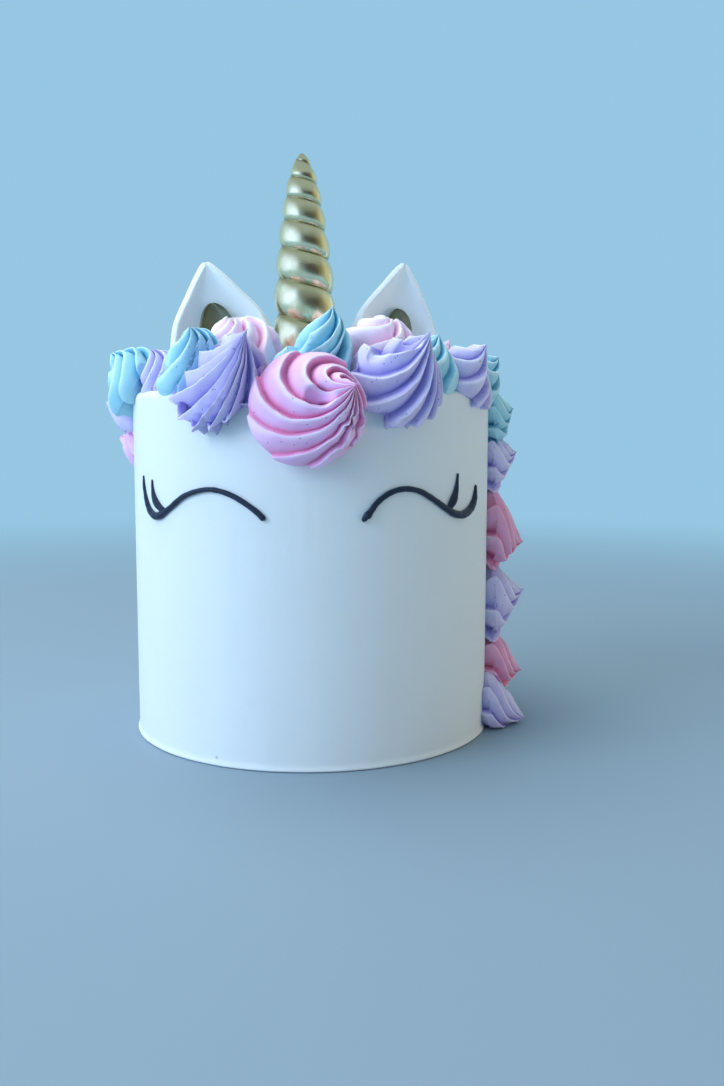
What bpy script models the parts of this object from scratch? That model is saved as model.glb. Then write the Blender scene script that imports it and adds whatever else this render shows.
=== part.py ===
"""A tall round layer cake in white icing, dressed as a unicorn's head: a wreath and a mane of piped swirls,
a coiled gold horn, two fondant ears with gold inner leaves, and two closed eyes piped on the wall.

Metres, +Z up. The origin is the centre of the cake's base, and the face looks along -Y. An azimuth counts
from the face, and grows towards the viewer's right.
"""

import math

import bmesh
import bpy
import numpy as np
from mathutils import Matrix, Vector

for thing in list(bpy.data.objects):
    bpy.data.objects.remove(thing)

MM = 0.001
GAP = 0.3 * MM

CAKE_RADIUS = 78.5 * MM
CAKE_HEIGHT = 148 * MM
CAKE_SEGMENTS = 48
EDGE_ROUND = 3.5 * MM
EDGE_STEPS = 3
FOOT_FLARE = 0.8 * MM
FOOT_HEIGHT = 3 * MM

HORN_PLACE = (-2.4 * MM, -6 * MM)
HORN_TIP_SHIFT = -1.4 * MM
HORN_HEIGHT = 101.5 * MM
HORN_SIDES = 12
HORN_GROOVE = 0.2
# share of the height from the tip down, and the radius there
HORN_OUTLINE = (
    (0.0, 0.9 * MM), (0.025, 3.1 * MM), (0.085, 5.7 * MM), (0.17, 7.9 * MM), (0.26, 9.4 * MM),
    (0.36, 10.9 * MM), (0.47, 12.4 * MM), (0.61, 13.4 * MM), (0.8, 14.2 * MM), (1.0, 14.8 * MM),
)
COIL_PITCH = 15.4 * MM  # between the grooves at COIL_START, and each next one up is shorter by COIL_RATIO
COIL_RATIO = 0.86
COIL_START = 34.2 * MM
COIL_ROWS = (0.0, 0.14, 0.5, 0.86)  # places across one coil, from groove to groove
MERGE = 0.001 * MM

# side, foot, turn of its face towards the viewer's right, and how far the inner leaf lies down and across
EARS = {
    "left": (-1, -36.5 * MM, math.radians(12), 18.5 * MM, -1.3 * MM),
    "right": (1, 30.8 * MM, math.radians(28), 20.5 * MM, 0.0),
}
EAR_DEPTH = 11 * MM
EAR_LENGTH = 59 * MM
EAR_LEAN = math.radians(10.5)
EAR_THICKNESS = 3.6 * MM
EAR_CURL = 6.5 * MM
EAR_COLUMNS = 6
EAR_HALF = 23.2 * MM
# distance down from the tip, and half the width there
EAR_OUTLINE = (
    (0 * MM, 0.9 * MM), (2 * MM, 2.6 * MM), (7 * MM, 6.7 * MM), (14 * MM, 11.8 * MM), (20 * MM, 16.2 * MM),
    (27 * MM, 20.3 * MM), (38 * MM, EAR_HALF), (48 * MM, 22.2 * MM), (59 * MM, 18.4 * MM),
)
EAR_CLEAR_HEIGHT = 17 * MM  # over the cake, where swirls come nearest to the ears
LEAF_OUTLINE = (
    (0 * MM, 1.6 * MM), (3 * MM, 4.6 * MM), (6.5 * MM, 6.4 * MM), (12 * MM, 8.2 * MM), (20 * MM, 9.6 * MM),
    (30 * MM, 9.6 * MM), (38.5 * MM, 8 * MM),
)
LEAF_LIFT = 0.4 * MM  # what the leaf stands off the ear beside the gap
LEAF_THICKNESS = 1.2 * MM

# Each stroke: azimuth in degrees, height and half width of the line.
EYE_STROKES = {
    "eye_left": (
        (
            (-13.2, 98.4, 1.3), (-16.2, 102.2, 1.15), (-22.0, 107.0, 1.1), (-27.5, 109.3, 1.05),
            (-32.5, 109.3, 1.0), (-39.4, 106.6, 1.1), (-45.5, 101.6, 1.25), (-50.0, 98.4, 1.5),
            (-53.6, 97.6, 1.55), (-57.2, 99.6, 1.3), (-59.9, 104.0, 0.95), (-61.6, 109.0, 0.7),
            (-62.2, 113.6, 0.4),
        ),
        (
            (-48.4, 100.0, 0.9), (-51.6, 101.8, 1.35), (-54.2, 105.2, 1.0), (-55.4, 108.8, 0.65),
            (-55.8, 112.4, 0.35),
        ),
    ),
    "eye_right": (
        (
            (14.9, 99.0, 1.75), (16.4, 101.6, 1.25), (18.6, 105.2, 1.15), (22.2, 108.4, 1.15),
            (26.6, 109.8, 1.15), (31.8, 108.8, 1.15), (37.0, 105.4, 1.2), (42.0, 101.6, 1.3),
            (46.6, 98.8, 1.5), (51.0, 98.0, 1.7), (55.4, 99.8, 1.55), (58.6, 103.8, 1.25),
            (60.0, 109.8, 0.45),
        ),
        ((43.4, 100.6, 0.7), (45.4, 103.4, 1.6), (47.0, 107.0, 1.25), (47.9, 111.0, 0.7), (48.4, 115.2, 0.4)),
    ),
}
STROKE_SIDES = 6
STROKE_MIDDLE = 0.35  # how far the line's middle stands off the wall, as a share of its half width

# A swirl's outline swells from its foot to its widest ring, and closes in as (1 - t ** fullness) ** CLOSING.
FOOT_SHARE = 0.84
WIDEST_RISE = 0.18
CLOSING = 1.25
LEVEL_TWIST = 0.42  # the most that one ring of the mesh turns past the last, in radians
MIN_LEVELS = 4
BACK_RIDGES = 6
BACK_LEVELS = 4
BACK_SHAPE = (3.0, 3.0, 2.2, 2.0)  # lean to the right and up, twist, fullness
SHOWN_TURN = 0.7  # how far each next swirl is turned about its axis
BACK_TURN = 0.9
SWIRL_RIDGES = 8
RIM_DEPTH = 0.19  # of a groove, as a share of the radius, at the rim and at the tip
TIP_DEPTH = 0.34
RIDGE_CREST = 0.22
CREST_LEAN = -0.08
LEAN_POWER = 2.0  # how late the tip bends over
OWN_LEAN_POWER = {"swirl_pink_brow": 2.8, "swirl_lilac_brow_left": 1.5, "swirl_lilac_brow_right": 1.7}
HEART_RISE = 0.35  # where neighbours are measured from, as a share of the height
POST_REACH = 1.1
SKIRT_SHARE = 0.7
NEIGHBOUR_REACH = 1.7
CORE_SHARE = 0.12  # of the radius: how much of each ring stays, however hard neighbours press

PINK = (0.86, 0.42, 0.58)
LILAC = (0.45, 0.42, 0.74)
MINT = (0.34, 0.70, 0.72)

# The swirls in sight: name, colour, azimuth, distance from the cake's axis and height of the foot's centre,
# tilt of the swirl's axis over the horizontal, radius, height, lean of its tip to the right and up, twist
# in radians, and fullness.
SHOWN_SWIRLS = (
    ("pink_brow", PINK, -1.5, 77.5, 139.5, 10, 22.5, 20.0, 19.0, 6.5, 2.9, 2.1),
    ("lilac_brow_left", LILAC, -30.0, 72.0, 148.0, 32, 22.0, 24.5, 24.0, 9.5, 1.0, 1.3),
    ("lilac_brow_right", LILAC, 25.0, 71.5, 147.5, 32, 20.5, 24.0, 9.0, 10.5, 1.9, 1.5),
    ("mint_left", MINT, -45.5, 65.0, 152.0, 46, 16.5, 22.0, 10.0, 6.0, 2.2, 2.6),
    ("lilac_left", LILAC, -64.5, 65.0, 151.5, 50, 13.5, 16.5, 2.0, 2.0, 2.4, 2.0),
    ("mint_side", MINT, -81.0, 73.5, 149.5, 34, 17.0, 20.0, -2.0, 5.0, 2.4, 2.4),
    ("mint_right", MINT, 44.0, 61.5, 150.0, 62, 16.5, 22.0, 3.0, 2.0, 2.2, 2.6),
    ("lilac_right", LILAC, 61.5, 69.5, 149.5, 40, 16.5, 22.0, -6.0, 4.5, 2.2, 1.7),
    ("mint_edge", MINT, 83.0, 69.5, 150.0, 38, 15.0, 19.0, 0.0, 3.0, 2.4, 2.2),
    ("mint_top", MINT, 0.0, 51.0, 148.3, 76, 19.0, 33.0, 8.5, -1.0, 2.2, 2.4),
    ("pink_top_left", PINK, -40.0, 42.0, 151.0, 64, 20.0, 30.0, 2.0, 1.0, 2.4, 4.5),
    ("pink_top_right", PINK, 35.0, 42.0, 151.0, 64, 18.5, 30.5, 1.0, 1.0, 2.4, 4.5),
    ("pink_top_side", PINK, 72.0, 54.5, 150.0, 72, 14.0, 22.0, 3.0, 0.0, 2.6, 2.0),
    ("lilac_cheek", LILAC, -102.0, 77.5, 139.5, 10, 12.5, 21.5, -3.0, 1.0, 2.2, 2.4),
    ("pink_cheek", PINK, -104.0, 77.0, 124.0, 4, 13.0, 15.0, 2.0, 3.0, 2.6, 2.0),
    ("mint_mane", MINT, 90.0, 77.0, 136.5, 12, 15.5, 15.0, 2.0, 2.0, 2.2, 2.0),
    ("lilac_mane_high", LILAC, 92.0, 77.5, 116.5, 6, 16.0, 17.0, 2.0, 4.0, 2.2, 1.6),
    ("pink_mane", PINK, 93.0, 77.5, 86.5, 0, 20.5, 20.0, 0.0, -6.0, 3.0, 1.8),
    ("lilac_mane", LILAC, 92.0, 77.5, 51.5, 0, 20.5, 20.5, 1.0, 7.0, 2.2, 1.6),
    ("pink_mane_low", PINK, 91.0, 77.5, 25.0, 0, 16.5, 20.0, 1.0, -4.5, 2.8, 1.8),
    ("lilac_mane_foot", LILAC, 81.0, 77.5, 8.0, 4, 16.0, 19.0, 2.0, -7.0, 2.2, 1.6),
)
# The hidden back, row by row: first and last azimuth, count, distance from the cake's axis, height of the
# foot's centre, tilt, and each swirl's radius and height.
HIDDEN_ROWS = (
    ("rim", 109, 233, 7, 70.0, 149.5, 42, 15.5, 19.0),
    ("crown", 122, 238, 4, 48.0, 148.3, 86, 14.5, 22.0),
    ("nape", 114, 230, 6, 77.5, 126.0, 8, 15.0, 15.0),
    ("mid", 112, 200, 4, 77.5, 99.0, 2, 16.0, 15.0),
    ("low", 116, 164, 3, 77.5, 71.0, 0, 16.0, 15.0),
    ("tail", 117, 143, 2, 77.5, 43.0, 0, 15.5, 15.0),
    ("end", 114, 114, 1, 77.5, 16.5, 0, 15.5, 15.0),
)
ROW_COLOURS = (LILAC, PINK, MINT)


SMOOTH_TURNED = 40  # the edge angles, in degrees, up to which faces are shaded as one round surface
SMOOTH_PIPED = 55


def material(name, colour, roughness, metallic=0.0):
    made = bpy.data.materials.new(name)
    made.use_nodes = True
    shader = made.node_tree.nodes["Principled BSDF"]
    shader.inputs["Base Color"].default_value = (*colour, 1)
    shader.inputs["Roughness"].default_value = roughness
    shader.inputs["Metallic"].default_value = metallic
    return made


def add_object(name, points, faces, skin, smooth_under=SMOOTH_PIPED):
    """A closed mesh as a named object, with rounded places shaded smooth."""
    mesh = bpy.data.meshes.new(name)
    mesh.from_pydata([tuple(p) for p in points], [], faces)
    mesh.materials.append(skin)
    mesh.shade_smooth()
    mesh.set_sharp_from_angle(angle=math.radians(smooth_under))
    made = bpy.data.objects.new(name, mesh)
    bpy.context.scene.collection.objects.link(made)
    return made


def tube_faces(rows, columns, closed_ends=True):
    """Quads between rings of points, and one polygon over each end."""
    faces = []
    for i in range(rows - 1):
        for j in range(columns):
            a = i * columns + j
            b = i * columns + (j + 1) % columns
            faces.append((a, b, b + columns, a + columns))
    if closed_ends:
        faces.append(tuple(reversed(range(columns))))
        faces.append(tuple((rows - 1) * columns + j for j in range(columns)))
    return faces


def turned(name, outline, segments, skin):
    """A solid of revolution about +Z from (radius, height) points, bottom to top."""
    points = []
    for radius, height in outline:
        for k in range(segments):
            angle = math.tau * (k + 0.5) / segments
            points.append((radius * math.cos(angle), radius * math.sin(angle), height))
    return add_object(name, points, tube_faces(len(outline), segments), skin, SMOOTH_TURNED)


def cake_outline(grow=0.0):
    """The wall with its slight foot and rounded top edge, grown outwards by a distance."""
    outline = [(CAKE_RADIUS + FOOT_FLARE + grow, -grow), (CAKE_RADIUS + grow, FOOT_HEIGHT)]
    for k in range(EDGE_STEPS + 1):
        angle = math.pi / 2 * k / EDGE_STEPS
        reach = EDGE_ROUND + grow
        outline.append((
            CAKE_RADIUS - EDGE_ROUND + reach * math.cos(angle),
            CAKE_HEIGHT - EDGE_ROUND + reach * math.sin(angle),
        ))
    return outline


def horn(skin):
    """A pointed cone wound in fat round coils, which climb to the left across its front.

    The mesh is one strip wound with the coils, so that its rows follow the grooves, and its two ends
    are drawn level.
    """
    shares, radii = zip(*HORN_OUTLINE)
    span = COIL_PITCH / (1 - COIL_RATIO)
    coil_top = COIL_START + span
    first_turn = math.floor(math.log(coil_top / span) / math.log(COIL_RATIO))
    last_turn = math.ceil(math.log((coil_top - HORN_HEIGHT) / span) / math.log(COIL_RATIO)) + 1
    rows = (last_turn - first_turn) * len(COIL_ROWS) + 1
    points = []
    for i in range(rows):
        turn = first_turn + i // len(COIL_ROWS)
        coil = COIL_ROWS[i % len(COIL_ROWS)]
        bulge = math.sqrt(max(0.0, 1 - (2 * coil - 1) ** 2))
        for k in range(HORN_SIDES):
            share = k / HORN_SIDES
            azimuth = math.tau * share - math.pi / 2
            height = coil_top - span * COIL_RATIO ** (turn + coil - share)
            height = min(max(height, 0.0), HORN_HEIGHT)
            level = 0.0 < height < HORN_HEIGHT
            around = np.interp(1 - height / HORN_HEIGHT, shares, radii)
            around *= 1 - HORN_GROOVE * (1 - bulge) if level else 1 - HORN_GROOVE / 2
            points.append((
                HORN_PLACE[0] + HORN_TIP_SHIFT * height / HORN_HEIGHT + around * math.sin(azimuth),
                HORN_PLACE[1] - around * math.cos(azimuth),
                CAKE_HEIGHT + GAP + height,
            ))
    faces = []
    for i in range(rows - 1):
        for k in range(HORN_SIDES):
            a, b = i * HORN_SIDES + k, i * HORN_SIDES + k + 1
            if k == HORN_SIDES - 1:
                b = (i - len(COIL_ROWS)) * HORN_SIDES
                if b < 0:
                    continue
            faces.append((a, b, b + HORN_SIDES, a + HORN_SIDES))
    made = add_object("horn", points, faces, skin)
    shape = bmesh.new()
    shape.from_mesh(made.data)
    bmesh.ops.remove_doubles(shape, verts=shape.verts, dist=MERGE)
    bmesh.ops.dissolve_degenerate(shape, edges=shape.edges, dist=MERGE)
    loose = [v for v in shape.verts if not v.link_faces]
    bmesh.ops.delete(shape, geom=loose, context="VERTS")
    bmesh.ops.holes_fill(shape, edges=[e for e in shape.edges if e.is_boundary], sides=0)
    shape.to_mesh(made.data)
    shape.free()
    return made


def ear_plate(name, place, outline, drop, shift, thickness, forward, skin):
    """A pointed leaf-shaped plate, its side rims curled forward, leaning outwards and turned about its foot."""
    side, foot_x, turn = place
    rows = []
    for down, half in outline:
        front = []
        back = []
        for k in range(EAR_COLUMNS + 1):
            across = half * (2 * k / EAR_COLUMNS - 1)
            along = EAR_LENGTH - drop - down
            bend = EAR_CURL * ((across + shift) / EAR_HALF) ** 2
            z = CAKE_HEIGHT + GAP + along * math.cos(EAR_LEAN) - side * across * math.sin(EAR_LEAN)
            dx = across * math.cos(EAR_LEAN) + shift
            for row, face in ((front, -1), (back, 1)):
                dy = face * thickness / 2 - bend - forward
                row.append((
                    foot_x + side * along * math.sin(EAR_LEAN) + dx * math.cos(turn) - dy * math.sin(turn),
                    EAR_DEPTH + dx * math.sin(turn) + dy * math.cos(turn), max(z, CAKE_HEIGHT + GAP),
                ))
        rows.append(front + back[::-1])
    points = [p for row in reversed(rows) for p in row]
    return add_object(name, points, tube_faces(len(rows), 2 * (EAR_COLUMNS + 1)), skin)


def stroke(name, knots, skin):
    """A piped line on the wall: flat where it lies on the icing, round on the outside."""
    arc = [(math.radians(a) * CAKE_RADIUS, h * MM, w * MM) for a, h, w in knots]
    points = []
    for k, (along, height, half) in enumerate(arc):
        before = arc[max(k - 1, 0)]
        after = arc[min(k + 1, len(arc) - 1)]
        run = math.hypot(after[0] - before[0], after[1] - before[1])
        side = ((before[1] - after[1]) / run, (after[0] - before[0]) / run)
        for j in range(STROKE_SIDES):
            angle = math.tau * (j + 0.5) / STROKE_SIDES
            out = CAKE_RADIUS + 2 * GAP + max(0.0, half * (math.sin(angle) + STROKE_MIDDLE))
            azimuth = (along + side[0] * half * math.cos(angle)) / CAKE_RADIUS
            points.append((
                out * math.sin(azimuth), -out * math.cos(azimuth), height + side[1] * half * math.cos(angle),
            ))
    return add_object(name, points, tube_faces(len(arc), STROKE_SIDES), skin)


def face_outwards(thing):
    """Turns a mesh's faces outwards, whichever way its rings were laid."""
    shape = bmesh.new()
    shape.from_mesh(thing.data)
    bmesh.ops.recalc_face_normals(shape, faces=shape.faces)
    shape.to_mesh(thing.data)
    shape.free()


def boolean(thing, cutter, operation):
    change = thing.modifiers.new(operation.lower(), "BOOLEAN")
    change.operation = operation
    change.solver = "EXACT"
    change.object = cutter
    cutter.hide_render = True
    cutter.display_type = "WIRE"


class Swirl:
    """One piped swirl: where it sits, and the rings of points along it."""

    def __init__(
        self, name, colour, azimuth, distance, height, tilt, radius, tall, right, up, twist, fullness, turn,
        ridges=SWIRL_RIDGES, levels=0,
    ):
        self.name = name
        self.fullness = fullness
        self.ridges = ridges
        self.levels = levels or max(MIN_LEVELS, math.ceil(twist / LEVEL_TWIST))
        self.colour = colour
        self.radius = radius * MM
        self.tall = tall * MM
        self.lean = (right * MM, up * MM)
        self.twist = twist
        self.turn = turn
        angle = math.radians(azimuth)
        tilt = math.radians(tilt)
        outwards = Vector((math.sin(angle), -math.cos(angle), 0))
        upwards = Vector((0, 0, 1))
        self.foot = outwards * distance * MM + upwards * height * MM
        self.out = outwards * math.cos(tilt) + upwards * math.sin(tilt)
        self.right = Vector((math.cos(angle), math.sin(angle), 0))
        self.up = self.out.cross(self.right)
        self.heart = self.foot + self.out * self.tall * HEART_RISE
        self.walls = [(Vector((0, 0, -1)), -GAP)]

    def keep_off(self, other):
        """Adds the plane half way between two swirls that would press into each other."""
        between = other.heart - self.heart
        if between.length < NEIGHBOUR_REACH * (self.radius + other.radius):
            normal = between.normalized()
            share = self.radius / (self.radius + other.radius)
            self.walls.append((normal, normal.dot(self.heart) + between.length * share - GAP / 2))

    def stand_clear(self, x, y, reach):
        """Adds an upright plane before an ear or the horn, wherever the swirl would run into it."""
        between = Vector((x - self.heart.x, y - self.heart.y, 0))
        room = between.length - reach
        if room < self.radius * POST_REACH:
            normal = between.normalized()
            self.walls.append((normal, normal.dot(self.heart) + room))

    def outline(self):
        """Radius and height of each ring: one hidden in the cake, the foot, the widest, and on to the tip."""
        points = [(SKIRT_SHARE * self.radius, -self.radius), (FOOT_SHARE * self.radius, 0)]
        for level in range(self.levels + 1):
            t = level / self.levels
            rise = WIDEST_RISE + (1 - WIDEST_RISE) * t
            points.append(((1 - t ** self.fullness) ** CLOSING * self.radius, rise * self.tall))
        return points

    def rings(self):
        """Centre and points of each ring, the last being the tip alone."""
        outline = self.outline()
        rings = []
        for level, (out, rise) in enumerate(outline[:-1]):
            before, after = outline[max(level - 1, 1)], outline[max(level, 1) + 1]
            run = math.hypot(after[0] - before[0], after[1] - before[1])
            normal = ((after[1] - before[1]) / run, (before[0] - after[0]) / run)
            share = out / self.radius
            wind = self.twist * (1 - share) if level > 1 else 0
            depth = out * (RIM_DEPTH + (TIP_DEPTH - RIM_DEPTH) * (1 - share))
            centre = self.centre_at(rise)
            ring = []
            for ridge in range(self.ridges):
                for place, crest in ((0, 0), (RIDGE_CREST, 1)):
                    angle = math.tau * (ridge + place) / self.ridges + wind + self.turn + CREST_LEAN * crest
                    cut = depth * (1 - crest)
                    around = out - cut * normal[0]
                    ring.append(
                        centre + self.right * around * math.cos(angle)
                        + self.up * around * math.sin(angle) - self.out * cut * normal[1]
                    )
            rings.append(self.pressed(centre, ring))
        rings.append(self.pressed(self.centre_at(self.tall), []))
        return rings

    def centre_at(self, rise):
        """The swirl's own axis, which bends over towards the tip."""
        drift = max(0.0, rise / self.tall) ** OWN_LEAN_POWER.get(self.name, LEAN_POWER)
        lean = self.right * self.lean[0] + self.up * self.lean[1]
        return self.foot + self.out * rise + lean * drift

    def build(self, skin, cutter):
        rings = self.rings()
        columns = 2 * self.ridges
        points = [p for centre, ring in rings for p in ring]
        faces = tube_faces(len(rings) - 1, columns, closed_ends=False)
        for first, centre in ((0, rings[0][0]), ((len(rings) - 2) * columns, rings[-1][0])):
            for j in range(columns):
                faces.append((first + j, first + (j + 1) % columns, len(points)))
            points.append(centre)
        frame = Matrix((self.right, self.up, self.out)).transposed().to_4x4()
        frame.translation = self.foot
        made = add_object(self.name, points, faces, skin)
        made.data.transform(frame.inverted())
        made.matrix_world = frame
        boolean(made, cutter, "DIFFERENCE")
        return made

    def pressed(self, centre, ring):
        """Draws a ring in towards its centre where it would pass a neighbour's plane."""
        keep = CORE_SHARE * self.radius
        for normal, limit in self.walls:
            beyond = normal.dot(centre) - (limit - keep)
            if beyond > 0:
                centre = centre - normal * beyond
                ring = [p - normal * beyond for p in ring]
            room = limit - normal.dot(centre)
            ring = [centre + (p - centre) * min(1.0, room / max(normal.dot(p - centre), room)) for p in ring]
        return centre, ring


def standing_places():
    """Upright columns that hold the horn and the ears, as (x, y, radius)."""
    places = [(*HORN_PLACE, HORN_OUTLINE[-1][1] + GAP)]
    shift = EAR_CLEAR_HEIGHT * math.tan(EAR_LEAN)
    for side, foot_x, turn, _, _ in EARS.values():
        for k in range(-2, 3):
            share = k / 2
            dx, dy = share * EAR_HALF, -EAR_CURL * share ** 2
            places.append((
                foot_x + side * shift + dx * math.cos(turn) - dy * math.sin(turn),
                EAR_DEPTH + dx * math.sin(turn) + dy * math.cos(turn), EAR_THICKNESS,
            ))
    return places


def all_swirls():
    swirls = []
    for k, row in enumerate(SHOWN_SWIRLS):
        swirls.append(Swirl("swirl_" + row[0], *row[1:], SHOWN_TURN * k))
    for r, (name, first, last, count, distance, height, tilt, radius, tall) in enumerate(HIDDEN_ROWS):
        for k in range(count):
            azimuth = first + (last - first) * k / max(count - 1, 1)
            colour = ROW_COLOURS[(k + r) % len(ROW_COLOURS)]
            swirls.append(Swirl(
                f"swirl_{name}_{k + 1}", colour, azimuth, distance, height, tilt, radius, tall,
                *BACK_SHAPE, BACK_TURN * k + r, BACK_RIDGES, BACK_LEVELS,
            ))
    for one in swirls:
        for other in swirls:
            if other is not one:
                one.keep_off(other)
        for x, y, reach in standing_places():
            one.stand_clear(x, y, reach)
    return swirls


icing = material("white_icing", (0.90, 0.92, 0.93), 0.55)
gold = material("gold", (0.83, 0.62, 0.24), 0.3, 1.0)
fondant = material("white_fondant", (0.86, 0.87, 0.92), 0.6)
black = material("black_icing", (0.02, 0.03, 0.05), 0.4)
creams = {
    PINK: material("pink_cream", PINK, 0.55),
    LILAC: material("lilac_cream", LILAC, 0.55),
    MINT: material("mint_cream", MINT, 0.55),
}

pieces = [turned("cake", cake_outline(), CAKE_SEGMENTS, icing), horn(gold)]
for label, (*place, drop, across) in EARS.items():
    pieces.append(ear_plate("ear_" + label, place, EAR_OUTLINE, 0.0, 0.0, EAR_THICKNESS, 0.0, fondant))
    in_front = EAR_THICKNESS / 2 + GAP + LEAF_LIFT + LEAF_THICKNESS / 2
    leaf = (LEAF_OUTLINE, drop, across, LEAF_THICKNESS, in_front, gold)
    pieces.append(ear_plate("ear_leaf_" + label, place, *leaf))
for label, (line, lash) in EYE_STROKES.items():
    pieces.append(stroke(label, line, black))
    second = stroke(label + "_lash", lash, black)
    face_outwards(second)
    boolean(pieces[-1], second, "UNION")

cutter = turned("cake_clearance", cake_outline(GAP), CAKE_SEGMENTS, icing)
face_outwards(cutter)
for one in all_swirls():
    pieces.append(one.build(creams[one.colour], cutter))

whole = bpy.data.objects.new("layer_cake", None)
bpy.context.scene.collection.objects.link(whole)
for piece in pieces:
    face_outwards(piece)
    piece.parent = whole
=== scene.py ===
"""The looks of a tall round layer cake dressed as a unicorn's head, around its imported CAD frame.

Metres, +Z up. The face looks along -Y. An azimuth counts from the face, and grows towards the viewer's right.
"""
import math

import bmesh
import bpy
import numpy as np
from mathutils import Matrix, Vector, noise


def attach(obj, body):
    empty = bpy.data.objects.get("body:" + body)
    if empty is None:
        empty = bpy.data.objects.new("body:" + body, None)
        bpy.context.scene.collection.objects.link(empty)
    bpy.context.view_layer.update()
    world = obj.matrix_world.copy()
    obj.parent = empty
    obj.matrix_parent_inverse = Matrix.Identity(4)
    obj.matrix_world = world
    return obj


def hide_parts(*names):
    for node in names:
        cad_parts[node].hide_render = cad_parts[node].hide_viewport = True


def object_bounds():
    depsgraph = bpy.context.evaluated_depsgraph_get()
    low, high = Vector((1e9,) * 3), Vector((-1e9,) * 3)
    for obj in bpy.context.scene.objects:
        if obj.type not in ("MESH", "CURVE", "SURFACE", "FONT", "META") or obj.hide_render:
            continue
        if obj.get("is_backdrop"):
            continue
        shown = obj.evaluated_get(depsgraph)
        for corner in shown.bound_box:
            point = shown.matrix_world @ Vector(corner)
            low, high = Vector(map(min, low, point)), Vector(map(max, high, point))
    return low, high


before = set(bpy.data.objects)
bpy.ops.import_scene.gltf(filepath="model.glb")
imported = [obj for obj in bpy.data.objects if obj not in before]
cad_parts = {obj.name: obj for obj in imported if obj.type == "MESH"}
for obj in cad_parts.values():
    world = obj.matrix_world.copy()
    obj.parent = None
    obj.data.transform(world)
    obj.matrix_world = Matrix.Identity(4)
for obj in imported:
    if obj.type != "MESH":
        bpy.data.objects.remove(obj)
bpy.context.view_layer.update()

# The cake.
# A tall drum of sponge and filling under one coat of white buttercream, drawn smooth against a scraper
# while the cake turned, so that the wall has only faint upright streaks. The top edge was eased round.
MM = 0.001
CAKE_RADIUS = 78.5 * MM
CAKE_HEIGHT = 148 * MM


def keep_piece(name, mesh, skin, slot, *nodes):
    """A finished mesh as a named piece that stands for its CAD nodes."""
    mesh.materials.clear()
    mesh.materials.append(skin)
    piece = bpy.data.objects.new(name, mesh)
    bpy.context.scene.collection.objects.link(piece)
    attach(piece, "root")
    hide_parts(*nodes)
    return piece


def ring_mesh(name, rings, **marks):
    """A tube of quads through rings of points, with a fan over each end, and each mark's value at the points."""
    rings = np.asarray(rings)
    rows, columns, _ = rings.shape
    i, j = np.meshgrid(np.arange(rows - 1), np.arange(columns), indexing="ij")
    a = (i * columns + j).ravel()
    b = (i * columns + (j + 1) % columns).ravel()
    faces = np.stack([a, b, b + columns, a + columns], 1).tolist()
    points = rings.reshape(-1, 3).tolist()
    for first, turn in ((0, 1), ((rows - 1) * columns, -1)):
        points.append(rings[0 if turn > 0 else -1].mean(0).tolist())
        for k in range(columns):
            corners = [first + (k + 1) % columns, first + k, len(points) - 1]
            faces.append(corners[::turn])
    mesh = bpy.data.meshes.new(name)
    mesh.from_pydata(points, [], faces)
    shape = bmesh.new()
    shape.from_mesh(mesh)
    bmesh.ops.recalc_face_normals(shape, faces=shape.faces)
    shape.to_mesh(mesh)
    shape.free()
    mesh.shade_smooth()
    for mark, given in marks.items():
        values = np.zeros(len(mesh.vertices), np.float32)
        values[:-2] = np.ravel(given)
        mesh.attributes.new(mark, "FLOAT", "POINT").data.foreach_set("value", values)
    return mesh


def node_group(name, inputs, outputs):
    """An empty shader node group with named sockets, and its two end nodes."""
    group = bpy.data.node_groups.new(name, "ShaderNodeTree")
    for socket, kind, value in inputs:
        made = group.interface.new_socket(name=socket, in_out="INPUT", socket_type=kind)
        made.default_value = value
    for socket, kind in outputs:
        group.interface.new_socket(name=socket, in_out="OUTPUT", socket_type=kind)
    return group, group.nodes.new("NodeGroupInput"), group.nodes.new("NodeGroupOutput")


def put(tree, kind, links=None, **settings):
    """Adds a shader node, sets its properties and unlinked inputs, and links its other inputs."""
    node = tree.nodes.new(kind)
    for key, value in settings.items():
        setattr(node, key, value)
    for socket, source in (links or {}).items():
        if isinstance(source, bpy.types.NodeSocket):
            tree.links.new(source, node.inputs[socket])
        else:
            node.inputs[socket].default_value = source
    return node


def blend(tree, amount, below, above):
    """The colour that an amount of one colour over another gives."""
    # a Mix node's two colours are its inputs 6 and 7, and its mixed colour is output 2
    return put(tree, "ShaderNodeMix", {"Factor": amount, 6: below, 7: above}, data_type="RGBA").outputs[2]


def stretch(tree, value, low, high, to_low, to_high):
    """A value that goes from one end to the other while another crosses its own range."""
    return put(tree, "ShaderNodeMapRange", {
        "Value": value, "From Min": low, "From Max": high, "To Min": to_low, "To Max": to_high,
    }).outputs["Result"]


def bare_skin(name):
    """A new material, its node tree and its shader."""
    skin = bpy.data.materials.new(name)
    skin.use_nodes = True
    return skin, skin.node_tree, skin.node_tree.nodes["Principled BSDF"]


def finish_skin(tree, shader, colour, roughness, height, depth, strength):
    """Joins colour, roughness and relief to the shader."""
    bump = put(tree, "ShaderNodeBump", {"Height": height, "Distance": depth, "Strength": strength})
    tree.links.new(colour, shader.inputs["Base Color"])
    tree.links.new(roughness, shader.inputs["Roughness"])
    tree.links.new(bump.outputs["Normal"], shader.inputs["Normal"])


def soften(shader, weight, reach):
    """Lets light into the surface, as far as it reaches for red, green and blue in millimetres."""
    shader.inputs["Subsurface Weight"].default_value = weight
    shader.inputs["Subsurface Radius"].default_value = [r * MM for r in reach]
    shader.inputs["Subsurface Scale"].default_value = 1.0


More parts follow.
